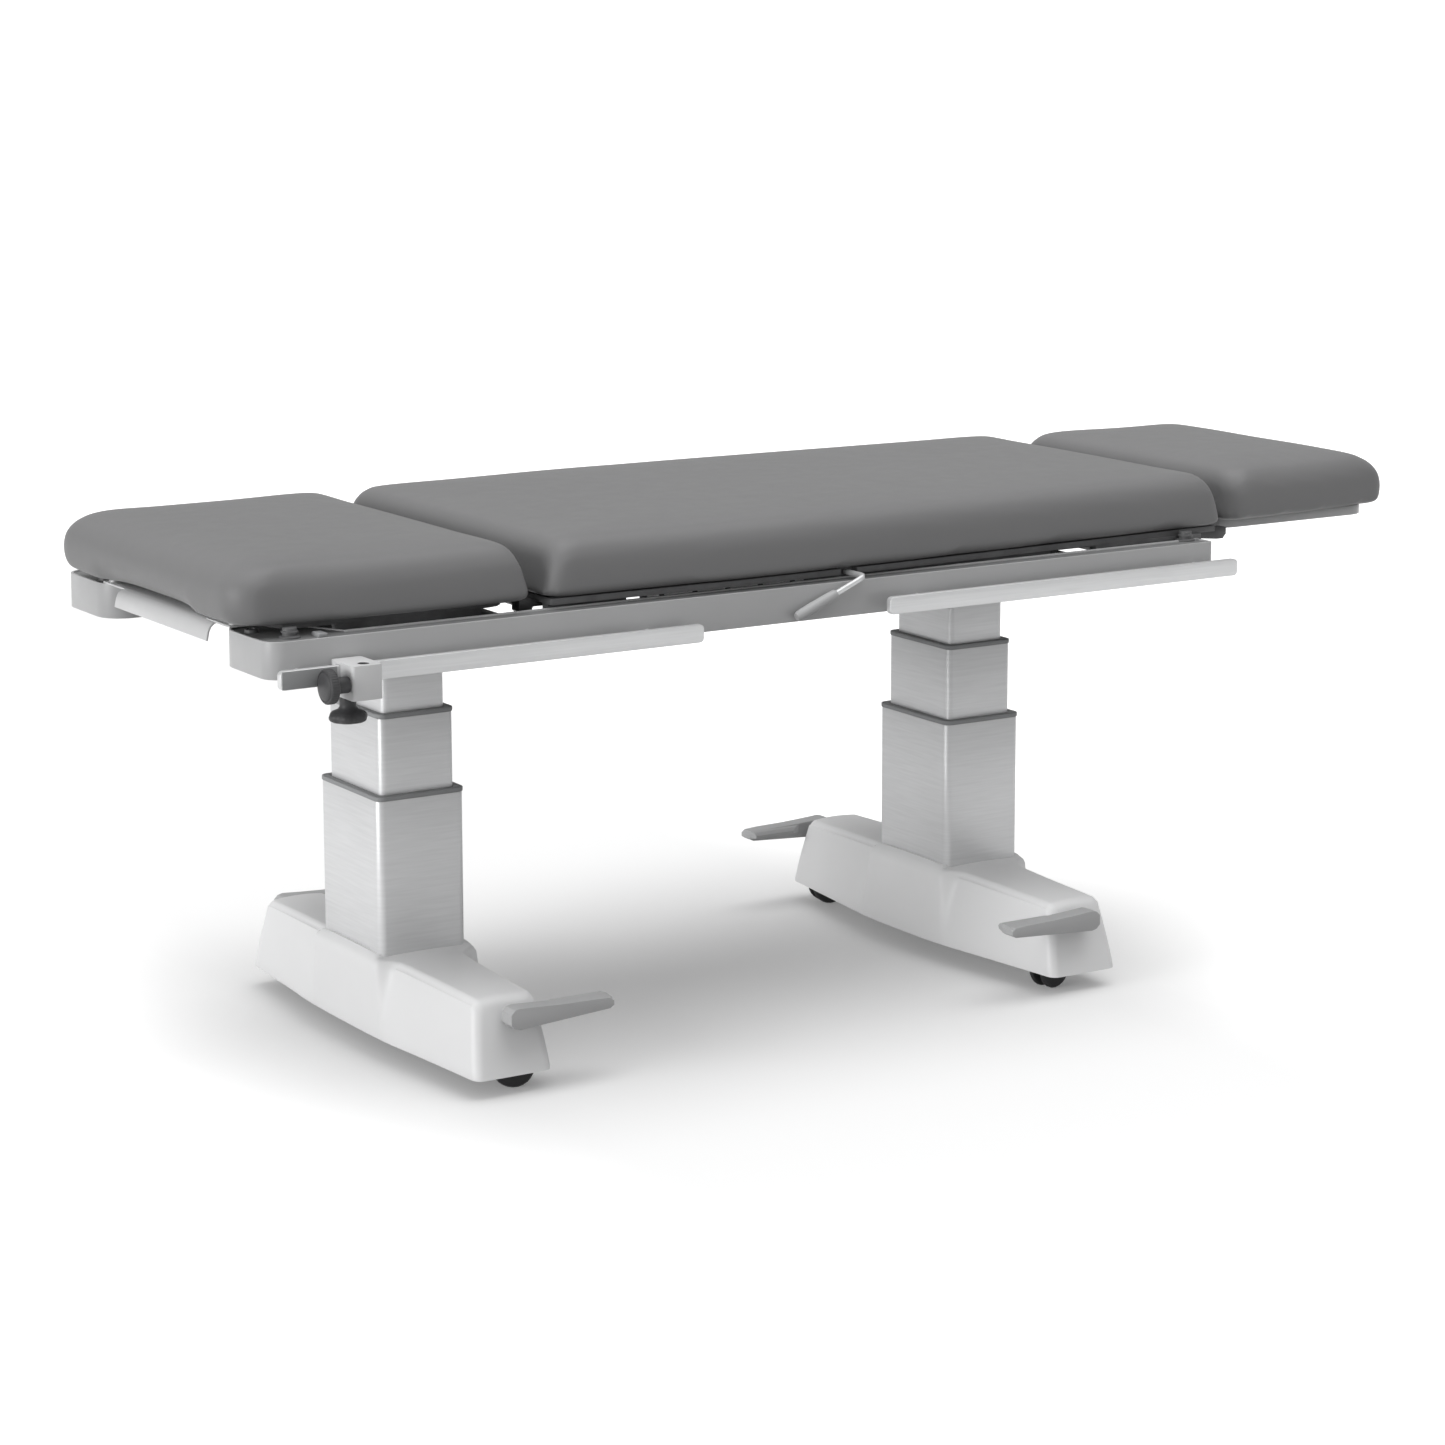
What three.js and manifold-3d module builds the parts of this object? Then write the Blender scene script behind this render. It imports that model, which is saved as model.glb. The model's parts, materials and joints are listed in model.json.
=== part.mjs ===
// Examination couch with a three-section upholstered top, two telescopic lifting columns
// and two castor bases with a brake pedal on each end.
// Millimetres, +Z up. X runs along the couch, Y across it, the floor is z = 0.
// Heights in the drawing are taken from a level FLOOR_DROP above the floor.
import * as THREE from "three";
import { mergeVertices } from "three/addons/utils/BufferGeometryUtils.js";
import Module from "manifold-3d";

const wasm = await Module();
wasm.setup();

// ---------------------------------------------------------------- driving dimensions
const ORIGIN_X = 144.5;          // middle of the overall length, measured from the middle of the two columns
const ORIGIN_Y = -23.6;          // middle of the overall width: the clamp stands out on the near side
const FLOOR_DROP = 9;            // the drawing's zero level stands this far above the floor
const COLUMN_X = 486;            // each column stands this far from the middle between them
const FRAME = { x0: -833, x1: 729, y: 341, z0: 601, z1: 651, beam: 40, armX: -735, armY: 188 };
const STAGE_OUT = { ax: 68.4, ay: 91.5, r: 11, wall: 4, z0: 118.3, z1: 358 };
const STAGE_MID = { ax: 58.5, ay: 81.5, r: 10, wall: 3.5, z0: 224, z1: 473 };
const STAGE_TOP = { ax: 49.5, ay: 72.5, r: 9, wall: 3.5, z0: 340, z1: 600.7 };
const COLLAR = 6.7;              // height of the collar on a stage
const PAD = { z0: 664, z1: 745 };
const DECK = { z0: 655, z1: 663.7 };
const HINGE_L = { x: -416, z: 653 };
const HINGE_R = { x: 795, z: 652 };
const LEVER_DROP = 38;           // gas spring lever below each hinge
const RAIL = { t: 10, h: 25, yBack: 363, zLeft: 594, zRight: 602 };
const BASE = { half: 356, z0: 20, wall: 4 };
const SHAFT = { z: 104, r: 7 };
const CASTOR = { x: 6, y: 297, trail: 20, r: 30, half: 17, stemTop: 69.6 };
const CLAMP = { x: -725, w: 44, y0: -410, y1: -345, z0: 577, z1: 623 };

// ---------------------------------------------------------------- materials
const mat = (hex, roughness, metalness = 0) =>
  new THREE.MeshStandardMaterial({ color: hex, roughness, metalness });
const M = {
  paint: mat(0xd9dadb, 0.42),
  plastic: mat(0xe9eaeb, 0.45),
  alu: mat(0xc3c5c7, 0.36, 1),
  collar: mat(0x8f9193, 0.55),
  leather: mat(0x7f8081, 0.5),
  deck: mat(0x3b3c3e, 0.6),
  black: mat(0x1c1d1e, 0.6),
  steel: mat(0xaeb0b2, 0.35, 1),
  knob: mat(0x3c3d3f, 0.5),
  pedal: mat(0x9fa1a3, 0.5),
  rubber: mat(0x202122, 0.8),
  grip: mat(0xa7a9ab, 0.5),
};

// ---------------------------------------------------------------- solid helpers
function solid(geometry) {
  let g = geometry.clone();
  for (const name of Object.keys(g.attributes)) if (name !== "position") g.deleteAttribute(name);
  g = mergeVertices(g, 1e-4);
  return new wasm.Manifold(new wasm.Mesh({
    numProp: 3,
    vertProperties: new Float32Array(g.attributes.position.array),
    triVerts: new Uint32Array(g.index.array),
  }));
}
function geometryOf(body) {
  const m = body.getMesh();
  const g = new THREE.BufferGeometry();
  g.setAttribute("position", new THREE.BufferAttribute(new Float32Array(m.vertProperties), 3));
  g.setIndex(new THREE.BufferAttribute(new Uint32Array(m.triVerts), 1));
  return g;
}
const join = (...list) => geometryOf(list.map(solid).reduce((a, b) => a.add(b)));
function cut(body, ...tools) {
  let s = solid(body);
  for (const t of tools) s = s.subtract(solid(t));
  return geometryOf(s);
}
// box from its two corners
function box(x0, x1, y0, y1, z0, z1) {
  const g = new THREE.BoxGeometry(Math.abs(x1 - x0), Math.abs(y1 - y0), Math.abs(z1 - z0));
  return g.translate((x0 + x1) / 2, (y0 + y1) / 2, (z0 + z1) / 2);
}
function shapeOf(points) {
  return new THREE.Shape(points.map(([x, y]) => new THREE.Vector2(x, y)));
}
// outline in X and Y, raised from z0 to z1
function prismZ(points, z0, z1, holes = []) {
  const s = shapeOf(points);
  for (const h of holes) s.holes.push(new THREE.Path(h.map(([x, y]) => new THREE.Vector2(x, y))));
  return new THREE.ExtrudeGeometry(s, { depth: z1 - z0, bevelEnabled: false }).translate(0, 0, z0);
}
// outline in X and Z, drawn out along Y from y0 to y1
function prismY(points, y0, y1, holes = []) {
  const s = shapeOf(points);
  for (const h of holes) s.holes.push(new THREE.Path(h.map(([x, y]) => new THREE.Vector2(x, y))));
  const g = new THREE.ExtrudeGeometry(s, { depth: y1 - y0, bevelEnabled: false });
  return g.rotateX(Math.PI / 2).translate(0, y1, 0);
}
// outline in Y and Z, drawn out along X
function prismX(points, x0, x1) {
  const g = new THREE.ExtrudeGeometry(shapeOf(points), { depth: x1 - x0, bevelEnabled: false });
  return g.applyMatrix4(new THREE.Matrix4().set(0, 0, 1, x0, 1, 0, 0, 0, 0, 1, 0, 0, 0, 0, 0, 1));
}
function roundRect(ax, ay, r, n = 3, cx = 0, cy = 0) {
  const p = [];
  for (const [sx, sy, a0] of [[1, 1, 0], [-1, 1, 90], [-1, -1, 180], [1, -1, 270]])
    for (let i = 0; i <= n; i++) {
      const a = (a0 + (90 * i) / n) * Math.PI / 180;
      p.push([cx + sx * (ax - r) + r * Math.cos(a), cy + sy * (ay - r) + r * Math.sin(a)]);
    }
  return p;
}
function circle(cx, cy, r, n = 16) {
  const p = [];
  for (let i = 0; i < n; i++) p.push([cx + r * Math.cos((2 * Math.PI * i) / n), cy + r * Math.sin((2 * Math.PI * i) / n)]);
  return p;
}
const rodZ = (x, y, r, z0, z1, n = 16) => prismZ(circle(x, y, r, n), z0, z1);
const rodY = (x, z, r, y0, y1, n = 16) => prismY(circle(x, z, r, n), y0, y1);
const rodX = (y, z, r, x0, x1, n = 16) => prismX(circle(y, z, r, n), x0, x1);
// rings of equal point count, stacked and capped into one closed skin
function loft(rings) {
  const n = rings[0].length, pos = [], idx = [];
  for (const ring of rings) for (const p of ring) pos.push(...p);
  for (let k = 0; k + 1 < rings.length; k++)
    for (let i = 0; i < n; i++) {
      const j = (i + 1) % n, a = k * n + i, b = k * n + j, c = (k + 1) * n + i, d = (k + 1) * n + j;
      idx.push(a, b, d, a, d, c);
    }
  return { pos, idx, n, rings: rings.length };
}
function closeLoft(l, flatA, flatB) {
  const tri = (flat) => THREE.ShapeUtils.triangulateShape(flat.map(([x, y]) => new THREE.Vector2(x, y)), []);
  for (const [a, b, c] of tri(flatA)) l.idx.push(c, b, a);
  const o = (l.rings - 1) * l.n;
  for (const [a, b, c] of tri(flatB)) l.idx.push(o + a, o + b, o + c);
  const g = new THREE.BufferGeometry();
  g.setAttribute("position", new THREE.Float32BufferAttribute(l.pos, 3));
  g.setIndex(l.idx);
  return g;
}
function lerpTable(t, x) {
  if (x <= t[0][0]) return t[0].slice(1);
  for (let i = 1; i < t.length; i++)
    if (x <= t[i][0]) {
      const f = (x - t[i - 1][0]) / (t[i][0] - t[i - 1][0]);
      return t[i].slice(1).map((v, k) => t[i - 1][k + 1] + f * (v - t[i - 1][k + 1]));
    }
  return t[t.length - 1].slice(1);
}
const root = new THREE.Group();
root.position.set(-ORIGIN_X, -ORIGIN_Y, FLOOR_DROP);
function node(parent, name, geometry, material, x = 0, y = 0, z = 0, rz = 0) {
  const m = new THREE.Mesh(geometry, material);
  m.name = name;
  m.position.set(x, y, z);
  m.rotation.z = rz;
  parent.add(m);
  return m;
}

// ---------------------------------------------------------------- upper frame
// a side member: a straight beam that widens into a rounded arm at the left end
function sideMember(s) {
  const { x0, x1, y, z0, z1, beam, armX, armY } = FRAME;
  const outline = (i) => {
    const p = [], arc = (cx, cy, r, a0, a1, n) => {
      for (let k = 0; k <= n; k++) {
        const a = (a0 + ((a1 - a0) * k) / n) * Math.PI / 180;
        p.push([cx + r * Math.cos(a), cy + r * Math.sin(a)]);
      }
    };
    arc(x0 + 26, -y + 26, 26 - i, 180, 270, 5);
    arc(x1 - 7, -y + 7, 7 - Math.min(i, 5), 270, 360, 3);
    p.push([x1 - i, -y + beam - i]);
    p.push([armX + 30, -y + beam - i]);
    p.push([armX - i, -armY - 50 - i * 0.5], [armX - i, -armY - i]);
    arc(x0 + 40, -armY - 40, 40 - i, 90, 180, 5);
    return s < 0 ? p : p.map(([a, b]) => [a, -b]).reverse();
  };
  const beamBody = prismZ(outline(0), z0, z1);
  const recess = prismZ(outline(4), z1 - 3, z1 + 5);
  const buffers = [[-786, 306], [706, 302]].map(([bx, by]) => rodZ(bx, s * by, 8.5, z1 - 12, PAD.z0 - 0.6, 14));
  return join(cut(beamBody, recess), ...buffers);
}
const frame = new THREE.Group();
root.add(frame);
node(frame, "side_member_near", sideMember(-1), M.paint);
node(frame, "side_member_far", sideMember(1), M.paint);
node(frame, "left_cross_member", box(-690, -660, -FRAME.y + FRAME.beam + 0.4, FRAME.y - FRAME.beam - 0.4, 603, 637), M.deck);
{
  const yIn = FRAME.y - FRAME.beam - 0.4;
  node(frame, "right_cross_member",
    cut(join(box(700, 727, -yIn, yIn, 603, 636), box(700, 727, -70, 70, 603, 650)), box(690, 740, -24, 24, 600, 634)), M.deck);
  const head = () => box(-54, 54, -yIn, yIn, 601.3, 636);
  // the left head is notched where the gas spring's lever swings into it
  node(frame, "left_column_head", cut(head(), box(14, 60, -24, 24, 595, 640)), M.deck, -COLUMN_X);
  node(frame, "right_column_head", head(), M.deck, COLUMN_X);
}
// bent sheet between the two arms, with a tab on each end screwed on top of its arm
{
  const t = 2.6, line = [[-798, 652.8], [-822, 652.8], [-829, 651], [-834.5, 646.5], [-837.5, 640], [-840, 628]];
  const outer = [], inner = [];
  line.forEach(([x, z], i) => {
    const a = line[Math.max(i - 1, 0)], b = line[Math.min(i + 1, line.length - 1)];
    const d = Math.hypot(b[0] - a[0], b[1] - a[1]), nx = (b[1] - a[1]) / d, nz = -(b[0] - a[0]) / d;
    outer.push([x + (nx * t) / 2, z + (nz * t) / 2]);
    inner.push([x - (nx * t) / 2, z - (nz * t) / 2]);
  });
  const sheet = prismY([...outer, ...inner.reverse()], -165, 143);
  const tabs = [-1, 1].map((s) => join(box(-828, -800, s * 138, s * 212, 651.4, 654),
    rodZ(-816, s * 200, 7.5, 653, 658.6, 12)));
  node(frame, "end_handle_plate", join(sheet, ...tabs), M.paint);
}
// accessory rails: a 25 x 10 flat bar on two welded spacers
function rail(x0, x1, z, s, spacers) {
  const L = (x1 - x0) / 2, cx = (x0 + x1) / 2;
  const bar = prismY(roundRect(L, RAIL.h / 2, 6, 3, cx, z + RAIL.h / 2),
    s < 0 ? -RAIL.yBack - RAIL.t : RAIL.yBack, s < 0 ? -RAIL.yBack : RAIL.yBack + RAIL.t);
  return join(bar, ...spacers.map((x) => {
    const a = s * (FRAME.y + 0.4), b = s * (RAIL.yBack + 1);
    return rodY(x, z + RAIL.h / 2, 9, Math.min(a, b), Math.max(a, b), 12);
  }));
}
for (const [s, side] of [[-1, "near"], [1, "far"]]) {
  node(frame, `side_rail_${side}_left`, rail(s < 0 ? -832 : -800, -192, RAIL.zLeft, s, [s < 0 ? -795 : -765, -265]), M.steel);
  node(frame, `side_rail_${side}_right`, rail(118, 750, RAIL.zRight, s, [185, 690]), M.steel);
}

// ---------------------------------------------------------------- upholstered sections
const profJoint = [[664, 0.5], [672, 2.2], [700, 10], [716, 14.4], [730, 21], [740, 33], [745, 58]];
const profOuterL = [[664, 36], [672, 20], [700, 0], [718, 1.5], [731, 12], [740, 30], [745, 66]];
const profOuterR = [[664, 8], [672, 2.5], [700, 0], [716, 5], [730, 16], [740, 36], [745, 62]];
const profSide = [[664, 3], [672, 0], [700, 0], [716, 1], [730, 6], [740, 14], [745, 28]];
function padOf(x0, x1, widths, rx0, rx1, endA, endB, notch = 0) {
  const rings = [], flats = [];
  for (let k = 0; k < profSide.length; k++) {
    const z = profSide[k][0], a = x0 + endA[k][1], b = x1 - endB[k][1], e = profSide[k][1];
    const w = (x) => lerpTable(widths, x)[0] - e;
    const ring = [];
    const corner = (cx, cy, r, a0, n = 4) => {
      for (let i = 0; i <= n; i++) {
        const t = (a0 + (90 * i) / n) * Math.PI / 180;
        ring.push([cx + r * Math.cos(t), cy + r * Math.sin(t), z]);
      }
    };
    const mids = [0.25, 0.5, 0.75];
    corner(a + rx0, -w(a + rx0) + rx0, rx0, 180);
    for (const f of mids) { const x = a + rx0 + f * (b - a - rx0 - rx1); ring.push([x, -w(x), z]); }
    corner(b - rx1, -w(b - rx1) + rx1, rx1, 270);
    ring.push([b, 0, z]);
    corner(b - rx1, w(b - rx1) - rx1, rx1, 0);
    for (const f of mids.slice().reverse()) { const x = a + rx0 + f * (b - a - rx0 - rx1); ring.push([x, w(x), z]); }
    corner(a + rx0, w(a + rx0) - rx0, rx0, 90);
    const dent = notch * Math.max(0, 1 - (z - 664) / 34);
    for (const y of [130, 60, 0, -60, -130]) ring.push([a + dent * (1 - (Math.abs(y) / 150) ** 2), y, z]);
    rings.push(ring);
    flats.push(ring.map(([x, y]) => [x, y]));
  }
  return closeLoft(loft(rings), flats[0], flats[flats.length - 1]);
}
const widthL = [[-868, 308], [-700, 313], [-420, 316]];
const widthC = [[-412, 323], [-260, 327], [-100, 331], [60, 329.5], [140, 326], [350, 317], [550, 309], [792, 301]];
const widthR = [[798, 286], [1157, 252]];
const leftSection = new THREE.Group(), rightSection = new THREE.Group();
root.add(leftSection, rightSection);
node(leftSection, "left_pad", padOf(-868, -420, widthL, 52, 14, profOuterL, profJoint, 24), M.leather);
node(frame, "centre_pad", padOf(-412, 791, widthC, 26, 20, profJoint, profJoint), M.leather);
node(rightSection, "right_pad", padOf(799, 1157, widthR, 46, 34, profJoint, profOuterR), M.leather);

// decks under the pads, with their hinge knuckles and the levers the gas springs push on
function knuckle(h, y, dir) {
  return join(rodY(h.x, h.z, 10, y - 13, y + 13, 20),
    box(h.x, h.x + dir * 32, y - 13, y + 13, h.z + 1, DECK.z1));
}
function springLugs(h) {
  const a = [[h.x - 9, h.z], [h.x - 7, h.z - LEVER_DROP - 4], [h.x - 3, h.z - LEVER_DROP - 8],
    [h.x + 3, h.z - LEVER_DROP - 8], [h.x + 7, h.z - LEVER_DROP - 4], [h.x + 9, h.z]];
  return [-13, 7].map((y) => prismY(a, y, y + 6));
}
const pinHole = (h) => rodY(h.x, h.z, 6.4, -400, 400, 20);
node(leftSection, "left_deck",
  cut(join(prismZ(roundRect(172, 278, 30, 3, -618, 0), DECK.z0, DECK.z1),
    box(-704, -486, -275, -262, 640, 656), box(-704, -486, 262, 275, 640, 656),
    knuckle(HINGE_L, -170, -1), knuckle(HINGE_L, 170, -1), knuckle(HINGE_L, 0, -1), ...springLugs(HINGE_L)),
    pinHole(HINGE_L)), M.deck);
node(rightSection, "right_tray",
  cut(join(cut(prismZ(roundRect(155, 240, 34, 4, 970, 0), 649, DECK.z1), prismZ(roundRect(146, 231, 27, 4, 970, 0), 645, 660)),
    knuckle(HINGE_R, -170, 1), knuckle(HINGE_R, 170, 1), knuckle(HINGE_R, 0, 1), ...springLugs(HINGE_R)),
    pinHole(HINGE_R)), M.paint);
// centre deck: a board on two ribs that stand on the column heads
{
  const board = [[-396, -308], [-100, -316], [140, -311], [550, -294], [778, -284],
    [778, 284], [550, 294], [140, 311], [-100, 316], [-396, 308]];
  const ribs = [-1, 1].map((s) => box(-392, 745, Math.min(s * 276, s * 292), Math.max(s * 276, s * 292), 636.4, 656));
  const lugs = [[-199, 8], [561, 8]].flatMap(([x]) => [-16, 10].map((y) =>
    prismY([[x - 9, 607], [x + 9, 607], [x + 16, 656], [x - 16, 656]], y, y + 6)));
  const pins = [-199, 561].map((x) => rodY(x, HINGE_L.z - LEVER_DROP, 4, -14, 14, 12));
  const windows = [[-268, -238], [460, 545]].map(([a, b]) => box(a, b, -300, 300, 641, 653));
  node(frame, "centre_deck",
    cut(join(prismZ(board, DECK.z0, DECK.z1), ...ribs, ...lugs, ...pins),
      ...windows, box(74, 102, -330, -299, 640, 670)), M.deck);
}
// hinge bars: one under each joint between the pads
{
  const blocks = [-1, 1].map((s) => prismY([[HINGE_L.x - 12, 645], [HINGE_L.x - 8, 641], [HINGE_L.x + 6, 641],
    [HINGE_L.x + 10, 649.5], [HINGE_L.x + 46, 649.5], [HINGE_L.x + 46, 654.6], [HINGE_L.x + 19, 654.6],
    [HINGE_L.x + 10, 660], [HINGE_L.x - 12, 660]],
  s < 0 ? -275.6 : 255, s < 0 ? -255 : 275.6));
  node(frame, "left_hinge_bar", join(rodY(HINGE_L.x, HINGE_L.z, 6, -256, 256, 20), ...blocks), M.black);
  const plates = [-1, 1].map((s) => prismY([[728, 654.6], [740, 646], [HINGE_R.x - 6, 641], [HINGE_R.x + 6, 641],
    [HINGE_R.x + 12, 648], [HINGE_R.x + 12, 658], [HINGE_R.x - 12, 658], [HINGE_R.x - 14, 654.6]],
  s < 0 ? -275.6 : 255, s < 0 ? -255 : 275.6));
  node(frame, "right_hinge_bar", join(rodY(HINGE_R.x, HINGE_R.z, 6, -256, 256, 20), ...plates), M.black);
}
// gas springs: cylinder pinned under the centre deck, rod to the section's lever
for (const [h, anchor, dir, side] of [[HINGE_L, -199, -1, "left"], [HINGE_R, 561, 1, "right"]]) {
  const z = HINGE_L.z - LEVER_DROP;
  const tail = h.x, x0 = anchor + dir * 12, x1 = tail - dir * 62;
  const eye = cut(join(rodY(anchor, z, 9, -9, 9, 14), box(anchor, anchor + dir * 14, -7, 7, z - 6, z + 6)),
    rodY(anchor, z, 4.4, -20, 20, 12));
  node(frame, `${side}_gas_spring_cylinder`,
    cut(join(eye, rodX(0, z, 11, Math.min(x0, x1), Math.max(x0, x1), 16)),
      rodX(0, z, 5.4, Math.min(x0 + dir * 6, x1 + dir * 5), Math.max(x0 + dir * 6, x1 + dir * 5), 14)), M.black);
  const r0 = tail - dir * 6, r1 = tail - dir * 108;
  node(root, `${side}_gas_spring_rod`,
    join(rodX(0, z, 5, Math.min(r0, r1), Math.max(r0, r1), 14),
      cut(join(rodY(tail, z, 7.5, -5, 5, 14)), rodY(tail, z, 4, -9, 9, 12))), M.steel);
}

// ---------------------------------------------------------------- release lever
{
  const lever = new THREE.Group();
  lever.position.set(88, -352, 657.5);
  root.add(lever);
  const path = new THREE.CatmullRomCurve3([
    new THREE.Vector3(0, 50, 0), new THREE.Vector3(0, 26, 0), new THREE.Vector3(0, 8, 0),
    new THREE.Vector3(-3, 1.5, -1), new THREE.Vector3(-12, -0.5, -4.5), new THREE.Vector3(-30, -0.5, -12),
    new THREE.Vector3(-50, -0.5, -20.5)], false, "catmullrom", 0.4);
  node(lever, "release_lever_rod", new THREE.ExtrudeGeometry(shapeOf(circle(0, 0, 4.2, 10)),
    { steps: 16, bevelEnabled: false, extrudePath: path }), M.grip);
  const grip = new THREE.LatheGeometry([[0, -36], [6, -36], [7.4, -33], [8, -20], [8.2, 10], [7.8, 30], [6, 36], [0, 38]]
    .map(([r, y]) => new THREE.Vector2(r, y)), 14);
  grip.rotateZ(Math.PI / 2 + 0.39).rotateX(Math.PI / 2);
  node(lever, "release_lever_grip", cut(grip.translate(-82, -0.5, -34),
    new THREE.ExtrudeGeometry(shapeOf(circle(0, 0, 4.6, 10)), { steps: 16, bevelEnabled: false, extrudePath:
      new THREE.LineCurve3(new THREE.Vector3(-30, -0.5, -12.1), new THREE.Vector3(-52.5, -0.5, -21.6)) })), M.grip);
}

// ---------------------------------------------------------------- rail clamp with its two knobs
{
  const clamp = new THREE.Group();
  clamp.position.set(CLAMP.x, 0, 0);
  root.add(clamp);
  const { w, y0, y1, z0, z1 } = CLAMP, h = w / 2, post = { x: 2, y: -393 }, knobY = -397;
  const block = prismZ(roundRect(h, (y1 - y0) / 2, 5, 3, 0, (y0 + y1) / 2), z0, z1);
  node(clamp, "clamp_body", cut(block,
    box(-h - 5, h + 5, -RAIL.yBack - RAIL.t - 0.6, -RAIL.yBack + 0.6, RAIL.zLeft - 0.6, RAIL.zLeft + RAIL.h + 0.6),
    rodZ(post.x, post.y, 8, z0 - 5, z1 + 5, 20),
    rodX(knobY, 598, 5, -h - 5, post.x, 14),
    rodZ(-9, -368, 5, z0 - 5, RAIL.zLeft, 14)), M.paint);
  // screws stop short of the post hole and of the rail
  const starPoints = (r0, r1, lobes) => {
    const p = [];
    for (let i = 0; i < lobes * 6; i++) {
      const a = (2 * Math.PI * i) / (lobes * 6);
      const r = r0 + (r1 - r0) * Math.sqrt(Math.max(0, 0.5 + 0.5 * Math.cos(lobes * a)));
      p.push([r * Math.cos(a), r * Math.sin(a)]);
    }
    return p;
  };
  const side = join(
    rodX(0, 0, 23.2, -h - 34, -h - 22, 28), rodX(0, 0, 20, -h - 36.5, -h - 33, 24),
    rodX(0, 0, 11, -h - 23, -h - 0.8, 16), rodX(0, 0, 4.6, -h - 1, -7.5, 14));
  node(clamp, "clamp_post_knob", side, M.knob, 0, knobY, 598);
  const under = join(prismZ(starPoints(20, 25.5, 6), z0 - 34, z0 - 20),
    rodZ(0, 0, 11.5, z0 - 21, z0 - 0.8, 16), rodZ(0, 0, 4.6, z0 - 1, RAIL.zLeft - 0.6, 14));
  node(clamp, "clamp_rail_knob", under, M.knob, -9, -368, 0);
}

// ---------------------------------------------------------------- lifting columns
function tubeStage({ ax, ay, r, wall, z0, z1 }) {
  const hole = roundRect(ax - wall, ay - wall, Math.max(r - wall, 2), 3).reverse();
  return prismZ(roundRect(ax, ay, r, 4), z0, z1, [hole]);
}
function collar(outer, inner) {
  return prismZ(roundRect(outer.ax + 1.4, outer.ay + 1.4, outer.r + 1.4, 4), outer.z1 + 0.3, outer.z1 + 0.3 + COLLAR,
    [roundRect(inner.ax + 0.5, inner.ay + 0.5, inner.r + 0.5, 4).reverse()]);
}
function columnSet(side, sx) {
  const g = new THREE.Group();
  g.position.x = sx * COLUMN_X;
  root.add(g);
  node(g, `${side}_top_stage`, tubeStage(STAGE_TOP), M.alu);
  const plate = prismZ(roundRect(STAGE_MID.ax - 1, STAGE_MID.ay - 1, 8, 3), STAGE_MID.z0, STAGE_MID.z0 + 6);
  node(g, `${side}_mid_stage`, cut(join(tubeStage(STAGE_MID), plate, rodZ(0, 0, 14, STAGE_MID.z0, 455, 18)),
    rodZ(0, 0, 9, STAGE_MID.z0 - 5, 460, 18)), M.alu);
  node(g, `${side}_outer_stage`, tubeStage(STAGE_OUT), M.alu);
  node(g, `${side}_mid_collar`, collar(STAGE_MID, STAGE_TOP), M.collar);
  node(g, `${side}_outer_collar`, collar(STAGE_OUT, STAGE_MID), M.collar);
  // motor and gearbox hang in the top stage, over the drive tube
  node(g, `${side}_lift_drive`, cut(join(box(-42, 42, -65, 65, 576, 600.6), rodZ(0, 0, 20, 356, 577, 18)),
    rodZ(0, 0, 16, 350, 575, 18)), M.black);
  return g;
}
const leftColumn = columnSet("left", -1), rightColumn = columnSet("right", 1);

// ---------------------------------------------------------------- bases
// columns: distance across the middle, bottom half-width outside, bottom half-width inside, top half-width, top height
const baseTable = [[0, 79, 92, 80, 136], [60, 79, 91, 80, 136], [105, 78, 88, 78, 135], [128, 77, 86, 60, 133],
  [150, 75, 83, 52, 131], [220, 69, 75, 47, 129], [300, 64, 66, 45, 127], [356, 60, 60, 44, 126]];
function coverSkin(off) {
  const ys = [356, 300, 220, 150, 128, 105, 60, 0];
  const all = [...ys.map((y) => -y), ...ys.slice(0, -1).reverse()];
  const rings = [], flats = [];
  for (const y of all) {
    const [wo, wi, wt, zt] = lerpTable(baseTable, Math.abs(y)).map((v, i) => v - off);
    const zb = off ? BASE.z0 - 6 : BASE.z0;
    const sec = [[wi, zb], [wi - (wi - wt) * 0.52, 82], [wt + 1.5, zt - 11], [wt - 6, zt - 2], [wt - 14, zt],
      [-wt + 14, zt], [-wt + 6, zt - 2], [-wt - 1.5, zt - 11], [-wo + (wo - wt) * 0.52, 82], [-wo, zb]];
    const yy = Math.sign(y) * (Math.abs(y) - off * (Math.abs(y) / BASE.half));
    rings.push(sec.map(([x, z]) => [x, yy * (1 - 0.0758 * Math.max(0, z - BASE.z0) / 106), z]));
    flats.push(sec);
  }
  // rings run along +Y, so the outline is turned to keep the faces pointing out
  rings.forEach((r) => r.reverse());
  const rev = (f) => f.slice().reverse();
  return closeLoft(loft(rings), rev(flats[0]).map(([x, z]) => [x, -z]), rev(flats[flats.length - 1]).map(([x, z]) => [x, -z]));
}
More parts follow.
